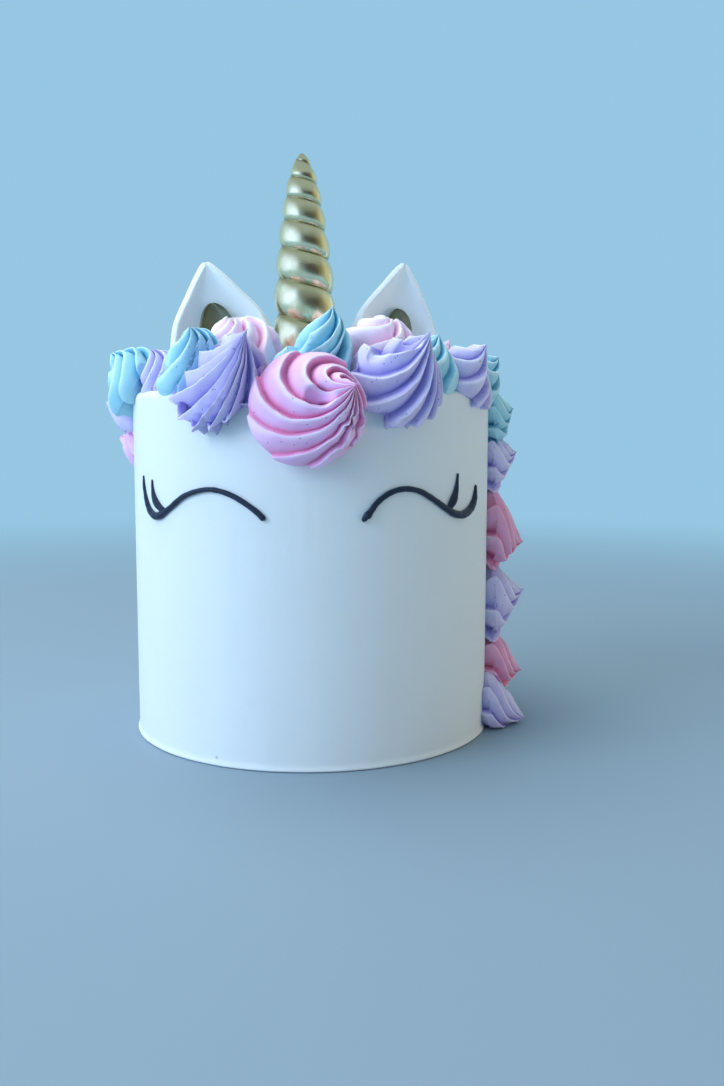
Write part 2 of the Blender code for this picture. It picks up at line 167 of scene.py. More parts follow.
def buttercream_group():
    """Whipped butter and sugar: tiny air holes, soft lumps, and grains of colour that never dissolved."""
    group, given, result = node_group(
        "buttercream",
        (
            ("Cream", "NodeSocketColor", (0.8, 0.8, 0.8, 1)),
            ("Deep Tone And Shade", "NodeSocketColor", (0.6, 0.6, 0.6, 1)),
            ("Highlight Cream", "NodeSocketColor", (0.9, 0.9, 0.9, 1)),
            ("Grain", "NodeSocketColor", (0.1, 0.1, 0.3, 1)),
            ("Grain Amount", "NodeSocketFloat", 0.5),
            ("Hole Amount", "NodeSocketFloat", 0.5),
            ("Groove Shade", "NodeSocketFloat", 0.0),
            ("Crest Highlight", "NodeSocketFloat", 0.0),
        ),
        (("Color", "NodeSocketColor"), ("Roughness", "NodeSocketFloat"), ("Height", "NodeSocketFloat")),
    )
    place = put(group, "ShaderNodeTexCoord").outputs["Object"]
    lumps = put(group, "ShaderNodeTexNoise", {"Vector": place, "Scale": 260, "Detail": 4, "Roughness": 0.55})
    fine = put(group, "ShaderNodeTexNoise", {"Vector": place, "Scale": 1500, "Detail": 2})
    patches = put(group, "ShaderNodeTexNoise", {"Vector": place, "Scale": 55, "Detail": 3})
    spots_per_metre = 420

    def spots(size, edge, amount):
        """Small round spots at random places, 1 inside and 0 outside, thinned out by an amount."""
        cells = put(group, "ShaderNodeTexVoronoi", {
            "Vector": place, "Scale": spots_per_metre, "Randomness": 1.0,
        })
        chance = put(group, "ShaderNodeSeparateColor", {"Color": cells.outputs["Color"]})
        kept = put(group, "ShaderNodeMath", {0: chance.outputs["Red"], 1: amount}, operation="LESS_THAN")
        dot = stretch(group, cells.outputs["Distance"], size, size + edge, 1.0, 0.0)
        shown = put(group, "ShaderNodeMath", {0: dot, 1: kept.outputs["Value"]}, operation="MULTIPLY")
        return shown.outputs["Value"]

    grains = spots(0.06, 0.07, given.outputs["Grain Amount"])
    holes = spots(0.1, 0.14, given.outputs["Hole Amount"])
    tone = stretch(group, patches.outputs["Fac"], 0.35, 0.7, 0.0, 0.35)
    # painted shade in the grooves, on top of random patches of the deeper tone
    deep = put(group, "ShaderNodeMath", {
        0: given.outputs["Groove Shade"], 1: tone,
    }, operation="ADD", use_clamp=True)
    cream = blend(group, deep.outputs["Value"], given.outputs["Cream"], given.outputs["Deep Tone And Shade"])
    # a painted highlight on the crests
    crest_highlit = blend(group, given.outputs["Crest Highlight"], cream, given.outputs["Highlight Cream"])
    grained = blend(group, grains, crest_highlit, given.outputs["Grain"])
    rough = stretch(group, lumps.outputs["Fac"], 0.3, 0.7, 0.42, 0.6)
    hole_depth, fine_height = -0.6, 0.2
    pitted = put(group, "ShaderNodeMath", {
        0: holes, 1: hole_depth, 2: lumps.outputs["Fac"],
    }, operation="MULTIPLY_ADD")
    height = put(group, "ShaderNodeMath", {
        0: fine.outputs["Fac"], 1: fine_height, 2: pitted.outputs["Value"],
    }, operation="MULTIPLY_ADD")
    group.links.new(grained, result.inputs["Color"])
    group.links.new(rough, result.inputs["Roughness"])
    group.links.new(height.outputs["Value"], result.inputs["Height"])
    return group


BUTTERCREAM = buttercream_group()


def buttercream(name, cream, deep, grain, grain_amount, hole_amount, depth, piped=True):
    """One batch of buttercream. Piped, it has painted shade in the grooves and a painted highlight on the
    crests.
    """
    skin, tree, shader = bare_skin(name)
    surface = put(tree, "ShaderNodeGroup", node_tree=BUTTERCREAM)
    surface.inputs["Cream"].default_value = (*cream, 1)
    surface.inputs["Deep Tone And Shade"].default_value = (*deep, 1)
    # the painted highlight on the crests: the cream at this share of its distance from white
    highlight_paleness = 0.45
    surface.inputs["Highlight Cream"].default_value = (*[1 - (1 - c) * highlight_paleness for c in cream], 1)
    surface.inputs["Grain"].default_value = (*grain, 1)
    surface.inputs["Grain Amount"].default_value = grain_amount
    surface.inputs["Hole Amount"].default_value = hole_amount
    if piped:
        # the marks carry painted shade in the grooves and a painted highlight on the crests
        for mark, socket in (("groove", "Groove Shade"), ("crest", "Crest Highlight")):
            marked = put(tree, "ShaderNodeAttribute", attribute_name=mark)
            tree.links.new(marked.outputs["Fac"], surface.inputs[socket])
    colour, rough, height = (surface.outputs[name] for name in ("Color", "Roughness", "Height"))
    finish_skin(tree, shader, colour, rough, height, depth, 0.8)
    soften(shader, 0.25, (2.5, 1.8, 1.4))
    shader.inputs["IOR"].default_value = 1.46
    return skin


def cake_rings():
    """Rings up the wall and in over the top, each point moved by the scraper's faint streaks."""
    edge, flare, foot = 3.5 * MM, 0.8 * MM, 3 * MM
    outline = [(0.0, 0.0), (CAKE_RADIUS * 0.5, 0.0), (CAKE_RADIUS + flare * 0.4, 0.0)]
    outline += [(CAKE_RADIUS + flare * (1 - t) ** 2, 0.4 * MM + foot * t) for t in np.linspace(0, 1, 6)]
    outline += [(CAKE_RADIUS, h) for h in np.linspace(4.5 * MM, CAKE_HEIGHT - edge - MM, 70)]
    for angle in np.linspace(0, math.pi / 2, 10):
        outline.append((
            CAKE_RADIUS - edge + edge * math.cos(angle), CAKE_HEIGHT - edge + edge * math.sin(angle),
        ))
    outline += [(r, CAKE_HEIGHT) for r in np.linspace(CAKE_RADIUS - edge - 2 * MM, 2 * MM, 30)]
    rings = []
    for radius, height in outline:
        ring = []
        for angle in np.linspace(0, math.tau, 288, endpoint=False):
            x, y = math.sin(angle), -math.cos(angle)
            broad = noise.noise((x * 5, y * 5, height * 7)) * 0.22 * MM
            narrow = noise.noise((x * 22, y * 22, height * 16)) * 0.07 * MM
            wall = min(1.0, max(0.0, radius / CAKE_RADIUS - 0.9) * 10)
            out = radius + (broad + narrow - 0.2 * MM) * wall
            dip = abs(noise.noise((x * radius * 60, y * radius * 60, 4))) * 0.3 * MM
            ring.append((out * x, out * y, height - (dip if height >= CAKE_HEIGHT else 0.0)))
        rings.append(ring)
    return rings


def crumb_mark(skin, spot):
    """A faint dark mark, where a crumb came through the coat, low on the wall to the viewer's left."""
    tree = skin.node_tree
    base = tree.nodes["Principled BSDF"].inputs["Base Color"]
    away = put(tree, "ShaderNodeVectorMath", {
        0: put(tree, "ShaderNodeTexCoord").outputs["Object"], 1: spot,
    }, operation="DISTANCE")
    mark = stretch(tree, away.outputs["Value"], 0.4 * MM, 1.0 * MM, 0.6, 0.0)
    tree.links.new(blend(tree, mark, base.links[0].from_socket, (0.06, 0.07, 0.10, 1)), base)


white_icing = buttercream(
    "white_icing", (0.80, 0.83, 0.84), (0.78, 0.80, 0.80), (0.5, 0.5, 0.52), 0.0, 0.05, 0.1 * MM,
    piped=False,
)
crumb_mark(white_icing, (-38.6 * MM, -68.8 * MM, 3.3 * MM))
keep_piece("smooth_coat", ring_mesh("smooth_coat", cake_rings()), white_icing, "white_icing", "cake")

# The closed eyes.
# Two lines of nearly black icing, piped freehand from a paper cone, each with a second lash let into the
# first. The line swells where the hand slowed, and the right one starts from a small knot.
# knots of each line: azimuth in degrees, height and half the line's width in millimetres
EYE_LINES = {
    "eye_left": (
        (
            (-13.2, 98.4, 1.3), (-16.2, 102.2, 1.15), (-22.0, 107.0, 1.1), (-27.5, 109.3, 1.05),
            (-32.5, 109.3, 1.0), (-39.4, 106.6, 1.1), (-45.5, 101.6, 1.25), (-50.0, 98.4, 1.5),
            (-53.6, 97.6, 1.55), (-57.2, 99.6, 1.3), (-59.9, 104.0, 0.95), (-61.6, 109.0, 0.7),
            (-62.2, 113.6, 0.4),
        ),
        (
            (-48.4, 100.0, 0.9), (-51.6, 101.8, 1.5), (-54.2, 105.2, 1.15), (-55.4, 108.8, 0.65),
            (-55.8, 112.4, 0.35),
        ),
    ),
    "eye_right": (
        (
            (14.9, 99.0, 1.75), (16.4, 101.6, 1.25), (18.6, 105.2, 1.15), (22.2, 108.4, 1.15),
            (26.6, 109.8, 1.15), (31.8, 108.8, 1.15), (37.0, 105.4, 1.2), (42.0, 101.6, 1.3),
            (46.6, 98.8, 1.5), (51.0, 98.0, 1.7), (55.4, 99.8, 1.55), (58.6, 103.8, 1.25),
            (60.0, 109.8, 0.45),
        ),
        ((43.4, 100.6, 0.7), (45.4, 103.4, 1.6), (47.0, 107.0, 1.25), (47.9, 111.0, 0.7), (48.4, 115.2, 0.4)),
        ((14.2, 97.6, 0.8), (14.6, 98.8, 1.1), (15.6, 100.6, 1.3), (16.6, 101.2, 0.9)),
    ),
}


def smooth_path(knots, steps):
    """Catmull-Rom samples through a row of knots, steps to each span."""
    p = np.asarray(knots, float)
    p = np.vstack([2 * p[0] - p[1], p, 2 * p[-1] - p[-2]])
    out = []
    for a, b, c, d in zip(p, p[1:], p[2:], p[3:]):
        for t in np.linspace(0, 1, steps, endpoint=False):
            out.append(0.5 * (2 * b + (c - a) * t + (2 * a - 5 * b + 4 * c - d) * t ** 2
                              + (3 * b - a - 3 * c + d) * t ** 3))
    out.append(p[-2])
    return np.array(out)


def piped_line(knots):
    """Rings of one icing line that sits on the wall, its ends rounded off."""
    path = smooth_path([(math.radians(a) * CAKE_RADIUS, h * MM, w * MM) for a, h, w in knots], 9)
    run = np.gradient(path[:, :2], axis=0)
    run /= np.linalg.norm(run, axis=1)[:, None]
    gone = np.concatenate([[0], np.cumsum(np.linalg.norm(np.diff(path[:, :2], axis=0), axis=1))])
    rings = []
    for k, (along, height, half) in enumerate(path):
        end = min(gone[k], gone[-1] - gone[k])
        half *= 1 + 0.10 * noise.noise((along * 500, height * 500, 1.3))
        half *= math.sqrt(max(0.02, 1 - max(0.0, 1 - end / half) ** 2))
        ring = []
        for angle in np.linspace(0, math.tau, 18, endpoint=False):
            side = half * math.cos(angle)
            proud = half * (math.sin(angle) * 0.95 + 0.35)
            x, z = along - run[k, 1] * side, height + run[k, 0] * side
            out = CAKE_RADIUS + max(-0.7 * MM, proud)
            ring.append((out * math.sin(x / CAKE_RADIUS), -out * math.cos(x / CAKE_RADIUS), z))
        rings.append(ring)
    return rings


def two_tones(tree, value, low, dark, high, light):
    """A colour that goes from dark to light while a value goes from low to high."""
    tint = put(tree, "ShaderNodeValToRGB", {"Fac": value})
    for stop, place, colour in zip(tint.color_ramp.elements, (low, high), (dark, light)):
        stop.position, stop.color = place, (*colour, 1)
    return tint.outputs["Color"]


def black_icing_skin():
    """Nearly black, faintly blue icing with a thin dry skin."""
    skin, tree, shader = bare_skin("black_icing")
    place = put(tree, "ShaderNodeTexCoord").outputs["Object"]
    mottle = put(tree, "ShaderNodeTexNoise", {"Vector": place, "Scale": 900, "Detail": 3}).outputs["Fac"]
    tint = two_tones(tree, mottle, 0.35, (0.006, 0.012, 0.030), 0.75, (0.012, 0.028, 0.070))
    finish_skin(tree, shader, tint, stretch(tree, mottle, 0.3, 0.7, 0.28, 0.5), mottle, 0.12 * MM, 0.6)
    return skin


black_icing = black_icing_skin()
for label, lines in EYE_LINES.items():
    joined = bmesh.new()
    for line in lines:
        part = ring_mesh("line", piped_line(line))
        joined.from_mesh(part)
        bpy.data.meshes.remove(part)
    eye_mesh = bpy.data.meshes.new("piped_" + label)
    joined.to_mesh(eye_mesh)
    joined.free()
    eye = keep_piece("piped_" + label, eye_mesh, black_icing, "black_icing", label)
    fuse = eye.modifiers.new("fuse", "REMESH")
    fuse.mode = "VOXEL"
    fuse.voxel_size = 0.22 * MM
    fuse.use_smooth_shade = True
    relax = eye.modifiers.new("relax", "SMOOTH")
    relax.factor = 0.5
    relax.iterations = 3

# The piped swirls.
# Buttercream in three pastel colours, squeezed from a bag through an eight-toothed closed star nozzle. Each
# was turned once and drawn off to a tip, so its ridges wind into the peak, and each was pressed on the last.
GAP = 0.3 * MM
HORN_PLACE = (-2.4 * MM, -6 * MM)
HORN_FOOT = 14.8 * MM
EAR_DEPTH = 11 * MM
# the ear's widest half, how far its rim curls forward, and how far its middle stands out over its foot
EAR_HALF_WIDTH, EAR_CURL, EAR_OVERHANG = 23.2 * MM, 6.5 * MM, 3.15 * MM
# name, side, foot, turn of its face towards the viewer's right, and how far down and across its leaf lies
EARS = (
    ("left", -1, -36.5 * MM, math.radians(12), 18.5 * MM, -1.3 * MM),
    ("right", 1, 30.8 * MM, math.radians(28), 20.5 * MM, 0.0),
)
# the second pink is the pink cream made paler: painted light where light from above falls strongly on the top
# swirls
PINK, TOP_LIT_PINK, DEEP_PINK = "pink_cream", "top_lit_pink_cream", "deep_pink_cream"
LILAC, MINT = "lilac_cream", "mint_cream"

# name, colour, azimuth, distance from the cake's axis and height of the foot's centre, tilt over the
# horizontal, radius, height, lean of the tip to the right and up, twist in radians, and fullness
SHOWN_SWIRLS = (
    ("pink_brow", PINK, -1.5, 77.5, 139.5, 10, 22.5, 20.0, 19.0, 6.5, 2.9, 2.1),
    ("lilac_brow_left", LILAC, -30.0, 72.0, 148.0, 32, 22.0, 24.5, 24.0, 9.5, 1.0, 1.3),
    ("lilac_brow_right", LILAC, 25.0, 71.5, 147.5, 32, 20.5, 24.0, 9.0, 10.5, 1.9, 1.5),
    ("mint_left", MINT, -45.5, 65.0, 152.0, 46, 16.5, 22.0, 10.0, 6.0, 2.2, 2.6),
    ("lilac_left", LILAC, -64.5, 65.0, 151.5, 50, 13.5, 16.5, 2.0, 2.0, 2.4, 2.0),
    ("mint_side", MINT, -81.0, 73.5, 149.5, 34, 17.0, 20.0, -2.0, 5.0, 2.4, 2.4),
    ("mint_right", MINT, 44.0, 61.5, 150.0, 62, 16.5, 22.0, 3.0, 2.0, 2.2, 2.6),
    ("lilac_right", LILAC, 61.5, 69.5, 149.5, 40, 16.5, 22.0, -6.0, 4.5, 2.2, 1.7),
    ("mint_edge", MINT, 83.0, 69.5, 150.0, 38, 15.0, 19.0, 0.0, 3.0, 2.4, 2.2),
    ("mint_top", MINT, 0.0, 51.0, 148.3, 76, 19.0, 33.0, 8.5, -1.0, 2.2, 2.4),
    ("pink_top_left", TOP_LIT_PINK, -40.0, 42.0, 151.0, 64, 20.0, 30.0, 2.0, 1.0, 2.4, 4.5),
    ("pink_top_right", TOP_LIT_PINK, 35.0, 42.0, 151.0, 64, 18.5, 30.5, 1.0, 1.0, 2.4, 4.5),
    ("pink_top_side", TOP_LIT_PINK, 72.0, 54.5, 150.0, 72, 14.0, 22.0, 3.0, 0.0, 2.6, 2.0),
    ("lilac_cheek", LILAC, -102.0, 77.5, 139.5, 10, 12.5, 21.5, -3.0, 1.0, 2.2, 2.4),
    ("pink_cheek", PINK, -104.0, 77.0, 124.0, 4, 13.0, 15.0, 2.0, 3.0, 2.6, 2.0),
    ("mint_mane", MINT, 90.0, 77.0, 136.5, 12, 15.5, 15.0, 2.0, 2.0, 2.2, 2.0),
    ("lilac_mane_high", LILAC, 92.0, 77.5, 116.5, 6, 16.0, 17.0, 2.0, 4.0, 2.2, 1.6),
    ("pink_mane", DEEP_PINK, 93.0, 77.5, 86.5, 0, 20.5, 20.0, 0.0, -6.0, 3.0, 1.8),
    ("lilac_mane", LILAC, 92.0, 77.5, 51.5, 0, 20.5, 20.5, 1.0, 7.0, 2.2, 1.6),
    ("pink_mane_low", DEEP_PINK, 91.0, 77.5, 25.0, 0, 16.5, 20.0, 1.0, -4.5, 2.8, 1.8),
    ("lilac_mane_foot", LILAC, 81.0, 77.5, 8.0, 4, 16.0, 19.0, 2.0, -7.0, 2.2, 1.6),
)
# the back, row by row: first and last azimuth, count, distance, height, tilt, radius, height of a swirl
HIDDEN_ROWS = (
    ("rim", 109, 233, 7, 70.0, 149.5, 42, 15.5, 19.0),
    ("crown", 122, 238, 4, 48.0, 148.3, 86, 14.5, 22.0),
    ("nape", 114, 230, 6, 77.5, 126.0, 8, 15.0, 15.0),
    ("mid", 112, 200, 4, 77.5, 99.0, 2, 16.0, 15.0),
    ("low", 116, 164, 3, 77.5, 71.0, 0, 16.0, 15.0),
    ("tail", 117, 143, 2, 77.5, 43.0, 0, 15.5, 15.0),
    ("end", 114, 114, 1, 77.5, 16.5, 0, 15.5, 15.0),
)
# What the hand did to each: how late the tip bends over, the grooves' depth at the rim and near the tip as a
# share of the radius, where the crest stands across a ridge, how round the ridge is, and where the ridges
# start and how wide each is, in degrees counted from the right and over the top.
PLAIN_HAND = {
    "bend": 2.0, "rim": 0.25, "tip": 0.50, "crest": 0.24, "roundness": 1.5, "start": None, "widths": (),
}
HAND = {
    "pink_brow": {"bend": 2.8, "rim": 0.07, "tip": 0.56, "crest": 0.20, "roundness": 2.0},
    "lilac_brow_left": {
        "bend": 1.5, "rim": 0.34, "tip": 0.60, "crest": 0.50, "roundness": 1.1, "start": 122,
        "widths": (36, 32, 32, 34, 22, 18, 20, 46, 60, 60),
    },
    "lilac_brow_right": {
        "bend": 1.7, "rim": 0.24, "tip": 0.58, "crest": 0.46, "roundness": 1.2, "start": 95,
        "widths": (62, 44, 40, 36, 28, 24, 22, 24, 36, 44),
    },
    "mint_left": {
        "rim": 0.20, "tip": 0.60, "crest": 0.3, "roundness": 2.2, "start": 60,
        "widths": (50, 95, 75, 60, 40, 40),
    },
    "mint_side": {
        "rim": 0.20, "tip": 0.60, "roundness": 2.0, "start": 50,
        "widths": (60, 70, 80, 60, 50, 40),
    },
    "mint_right": {
        "rim": 0.16, "tip": 0.50, "roundness": 2.4, "start": 20,
        "widths": (60, 50, 60, 60, 90, 40),
    },
    "mint_top": {
        "bend": 1.8, "rim": 0.36, "tip": 0.64, "crest": 0.36, "roundness": 1.9, "start": 150,
        "widths": (78, 34, 24, 74, 70, 80),
    },
    "mint_edge": {
        "rim": 0.22, "tip": 0.56, "roundness": 2.0, "start": 0,
        "widths": (70, 60, 70, 60, 50, 50),
    },
    "pink_top_left": {
        "rim": 0.22, "tip": 0.60, "roundness": 2.4, "start": 30,
        "widths": (60, 80, 60, 50, 60, 50),
    },
    "pink_top_right": {
        "rim": 0.22, "tip": 0.60, "roundness": 2.4, "start": 0,
        "widths": (60, 50, 80, 60, 60, 50),
    },
    "lilac_right": {
        "bend": 1.6, "rim": 0.20, "tip": 0.60, "crest": 0.40, "roundness": 1.8, "start": 170,
        "widths": (60, 40, 60, 80, 50, 70),
    },
    "lilac_cheek": {"rim": 0.20, "tip": 0.50, "roundness": 2.0},
    "lilac_left": {
        "rim": 0.22, "tip": 0.56, "roundness": 1.8, "start": 0,
        "widths": (60, 70, 60, 60, 50, 60),
    },
}
# hollows left where the nozzle came away: right and up from the foot's axis, width, height and depth
HOLLOWS = {
    "pink_brow": ((5.4, 2.6, 5.6, 4.2, 5.6), (6.6, 0.2, 2.6, 1.5, 3.0)),
    "lilac_brow_right": ((2.5, 8.6, 4.0, 3.0, 4.5), (-8.0, 9.0, 3.6, 3.6, 3.0)),
    "mint_left": ((2.0, 7.0, 3.6, 2.6, 4.5), (-5.0, 0.0, 3.2, 3.4, 3.0)),
    "mint_top": ((-5.0, -7.0, 4.6, 3.4, 4.5),),
    "lilac_right": ((1.5, -5.5, 5.0, 1.7, 4.0),),
    "pink_top_left": ((3.0, 4.0, 3.0, 4.5, 4.0),),
    "pink_top_right": ((2.0, 3.0, 3.0, 4.0, 4.0),),
    "mint_side": ((2.0, -1.0, 2.4, 4.0, 3.0),),
}
# torn places, where cream stuck and pulled: right and up from the foot's axis, reach and roughness
TORN = {
    "pink_brow": ((17.0, -7.0, 7.5, 2.2), (13.0, -15.0, 5.0, 1.6)),
    "lilac_brow_left": ((2.0, -18.0, 8.0, 1.5), (10.0, -12.0, 6.0, 1.2)),
    "lilac_brow_right": ((-4.0, -17.0, 6.0, 1.0),),
    "mint_top": ((-1.0, -14.0, 7.0, 2.6), (-8.0, -9.0, 6.0, 1.8)),
}


def ridge_profile(crest, roundness):
    """Places across one ridge, from groove to groove, and its height there, with a softly rounded crest."""
    before = crest * np.array([0.0, 0.22, 0.46, 0.70, 0.88])
    after = crest + (1 - crest) * np.array([0.0, 0.04, 0.10, 0.20, 0.34, 0.50, 0.68, 0.84, 0.94])
    places = np.concatenate([before, after])
    rise = places / crest
    fall = np.where(
        places < crest, 1 + (crest - places) * 0.8,
        1 - np.clip((places - crest) / (1 - crest), 0, 1) ** roundness,
    )
    soft = 0.08
    gap = np.maximum(0, soft - np.abs(rise - fall)) / soft
    return places, np.minimum(rise, fall) - gap ** 2 * soft / 4


def swirl_place(azimuth, distance, height, tilt):
    """The swirl's foot, and its own axes to the right, up and out."""
    angle, tilt = math.radians(azimuth), math.radians(tilt)
    level = np.array((math.sin(angle), -math.cos(angle), 0))
    above = np.array((0, 0, 1.0))
    out = level * math.cos(tilt) + above * math.sin(tilt)
    right = np.array((math.cos(angle), math.sin(angle), 0))
    return (level * distance + above * height) * MM, right, np.cross(out, right), out


def swirl_rings(swirl, walls, seed, ridges, levels):
    """Rings of one swirl, its columns following the ridges, held back where neighbours press on it."""
    name, _, azimuth, distance, height, tilt, radius, tall, lean_right, lean_up, twist, fullness, turn = swirl
    hand = {**PLAIN_HAND, **HAND.get(name, {})}
    foot, right, up, out = swirl_place(azimuth, distance, height, tilt)
    random = np.random.default_rng(seed)
    radius, tall = radius * MM, tall * MM
    lean = (right * lean_right + up * lean_up) * MM
    ridges = len(hand["widths"]) or ridges
    strength = 1 - 0.22 * random.random(ridges)
    width = np.cumsum(np.concatenate([[0], hand["widths"] or 1 + 0.3 * (random.random(ridges) - 0.5)]))
    width = width * math.tau / width[-1]
    turn = turn if hand["start"] is None else math.radians(hand["start"])
    places, heights = ridge_profile(hand["crest"], hand["roundness"])
    ridge = np.repeat(np.arange(ridges), len(places))
    part = np.tile(places, ridges)
    crest = np.tile(heights, ridges)
    around = width[ridge] + part * (width[ridge + 1] - width[ridge])
    deep = 0.75 + 0.5 * random.random(ridges)
    if hand["widths"]:
        deep *= np.clip(np.array(hand["widths"]) / 40, 0.6, 1.3)
    deep = deep[ridge] * (1 - part) + deep[(ridge + 1) % ridges] * part
    # painted shade in the groove and on the steep side over it
    crease_shade = np.where(part < min(hand["crest"], 0.3), (1 - crest) ** 0.7, (1 - crest) ** 3.2)
    # the outline: a hidden skirt, the foot swelling to the widest ring, and the close to the tip
    t = np.linspace(0, 1, levels)
    t = 1 - (1 - t) ** 1.25
    grow = np.linspace(0, 1, 7)[:-1]
    swell = 0.84 + 0.16 * np.sin(grow * math.pi / 2)
    close = np.maximum(0.012, (1 - t ** fullness) ** 1.25)
    share = np.concatenate([[0.7], swell, close])
    widest = 0.18
    rise = np.concatenate([[-radius / tall], grow * widest, widest + (1 - widest) * t])
    slope = np.gradient(np.stack([share * radius, rise * tall], 1), axis=0)
    slope[0] = slope[1]
    slope /= np.linalg.norm(slope, axis=1)[:, None]
    rings, grooves, crests = [], [], []
    for k, (s, h) in enumerate(zip(share, rise)):
        wind = twist * (1 - s) if h > widest else 0.0
        depth = (hand["rim"] + (hand["tip"] - hand["rim"]) * (1 - s) ** 0.75) * s * radius
        cut = depth * deep * (1 - crest * strength[ridge])
        reach = s * radius - cut * slope[k, 1]
        level = h * tall + cut * slope[k, 0]
        angle = around + wind + turn - 0.12 * crest
        bent = lean * max(0.0, h) ** hand["bend"]
        centre = foot + out * h * tall + bent
        ring = (
            foot + bent + out * level[:, None]
            + right * (reach * np.cos(angle))[:, None] + up * (reach * np.sin(angle))[:, None]
        )
        across = (ring - foot) @ right / MM
        along = (ring - foot) @ up / MM
        for x, y, wide, high, sunk in HOLLOWS.get(name, ()):
            inside = np.clip(1 - ((across - x) / wide) ** 2 - ((along - y) / high) ** 2, 0, 1)
            ring = ring - out * (inside ** 0.8 * sunk * MM)[:, None] * (h > 0.3)
        for x, y, wide, rough in TORN.get(name, ()):
            inside = np.clip(1 - ((across - x) ** 2 + (along - y) ** 2) / wide ** 2, 0, 1)
            for j in np.nonzero(inside)[0]:
                spot = Vector(ring[j])
                pull = noise.noise(spot * 340) + 0.5 * abs(noise.noise(spot * 800))
                away = (ring[j] - centre) / np.linalg.norm(ring[j] - centre)
                ring[j] += away * pull * inside[j] * rough * MM
        for normal, limit in walls:
            beyond = normal @ centre - (limit - 0.12 * radius)
            if beyond > 0:
                centre = centre - normal * beyond
                ring = ring - normal * beyond
            room = limit - normal @ centre
            far = (ring - centre) @ normal
            ring = centre + (ring - centre) * np.minimum(1.0, room / np.maximum(far, room))[:, None]
        rings.append(ring)
        grooves.append(crease_shade)
        # a painted highlight along the crests, stronger towards the tip
        crests.append(np.clip((crest - 0.90) / 0.08, 0, 1) ** 2 * min(0.7, 0.2 + (1 - s) * 1.2))
    return np.array(rings), np.array(grooves), np.array(crests)


def all_swirls():
    """Every swirl as one row of numbers: those in sight, then the rows at the back."""
    swirls = [(*row, 0.7 * k) for k, row in enumerate(SHOWN_SWIRLS)]
    for r, (name, first, last, count, distance, height, tilt, radius, tall) in enumerate(HIDDEN_ROWS):
        for k in range(count):
            azimuth = first + (last - first) * k / max(count - 1, 1)
            swirls.append((
                f"{name}_{k + 1}", (LILAC, PINK, MINT)[(k + r) % 3], azimuth, distance, height, tilt,
                radius, tall, 3.0, 3.0, 2.2, 2.0, 0.9 * k + r,
            ))
    return swirls


def pressing_walls(swirl, others, overlap):
    """Planes half way to each neighbour, moved on by an overlap, and before the horn and the ears."""
    def heart(one):
        foot, _, _, out = swirl_place(*one[2:6])
        return foot + out * one[7] * MM * 0.35

    mine = heart(swirl)
    walls = [(np.array((0, 0, -1.0)), -GAP)]
    for other in others:
        if other is swirl:
            continue
        between = heart(other) - mine
        length = np.linalg.norm(between)
        if length < 1.7 * (swirl[6] + other[6]) * MM:
            normal = between / length
            walls.append((normal, normal @ mine + length * swirl[6] / (swirl[6] + other[6]) + overlap))
    posts = [(*HORN_PLACE, HORN_FOOT + GAP)]
    for _, side, foot_x, turn, _, _ in EARS:
        for share in (-1, -0.5, 0, 0.5, 1):
            dx, dy = share * EAR_HALF_WIDTH, -EAR_CURL * share ** 2
            posts.append((
                foot_x + side * EAR_OVERHANG + dx * math.cos(turn) - dy * math.sin(turn),
                EAR_DEPTH + dx * math.sin(turn) + dy * math.cos(turn), 3.6 * MM,
            ))
    for x, y, reach in posts:
        between = np.array((x - mine[0], y - mine[1], 0))
        length = np.linalg.norm(between)
        if length - reach < swirl[6] * 1.1 * MM:
            walls.append((between / length, between @ mine / length + length - reach))
    return walls


def worn_by_hand(points, edges, seed):
    """Small unevenness of cream that left the nozzle: soft waves, a little drag, and ragged crests."""
    moved = []
    for p, edge in zip(points, edges):
        q = Vector(p)
        wave = noise.noise_vector(q * 130 + Vector((seed, 0, 0))) * 0.45 * MM
        drag = noise.noise_vector(q * 420 + Vector((0, seed, 0))) * 0.16 * MM
        ragged = noise.noise_vector(q * 950) * 0.22 * MM * edge
        moved.append(q + wave + drag + ragged)
    return moved


# each batch: its cream, a deeper tone for random patches that is also the painted shade in the grooves, the
# grains, how many grains and holes, and their depth
CREAMS = {
    PINK: buttercream(
        PINK, (0.90, 0.62, 0.92), (0.82, 0.25, 0.48), (0.10, 0.03, 0.12), 0.34, 0.10, 0.16 * MM,
    ),
    # the pink cream made paler: painted light for the strong light from above
    TOP_LIT_PINK: buttercream(
        TOP_LIT_PINK, (0.93, 0.77, 0.95), (0.90, 0.54, 0.70), (0.10, 0.03, 0.12), 0.02, 0.10, 0.16 * MM,
    ),
    DEEP_PINK: buttercream(
        DEEP_PINK, (0.86, 0.44, 0.64), (0.74, 0.17, 0.34), (0.10, 0.03, 0.12), 0.34, 0.10, 0.16 * MM,
    ),
    LILAC: buttercream(
        LILAC, (0.73, 0.67, 0.90), (0.33, 0.29, 0.70), (0.03, 0.03, 0.20), 0.9, 0.30, 0.20 * MM,
    ),
    MINT: buttercream(
        MINT, (0.44, 0.77, 0.86), (0.09, 0.37, 0.57), (0.03, 0.14, 0.24), 0.30, 0.12, 0.16 * MM,
    ),
}
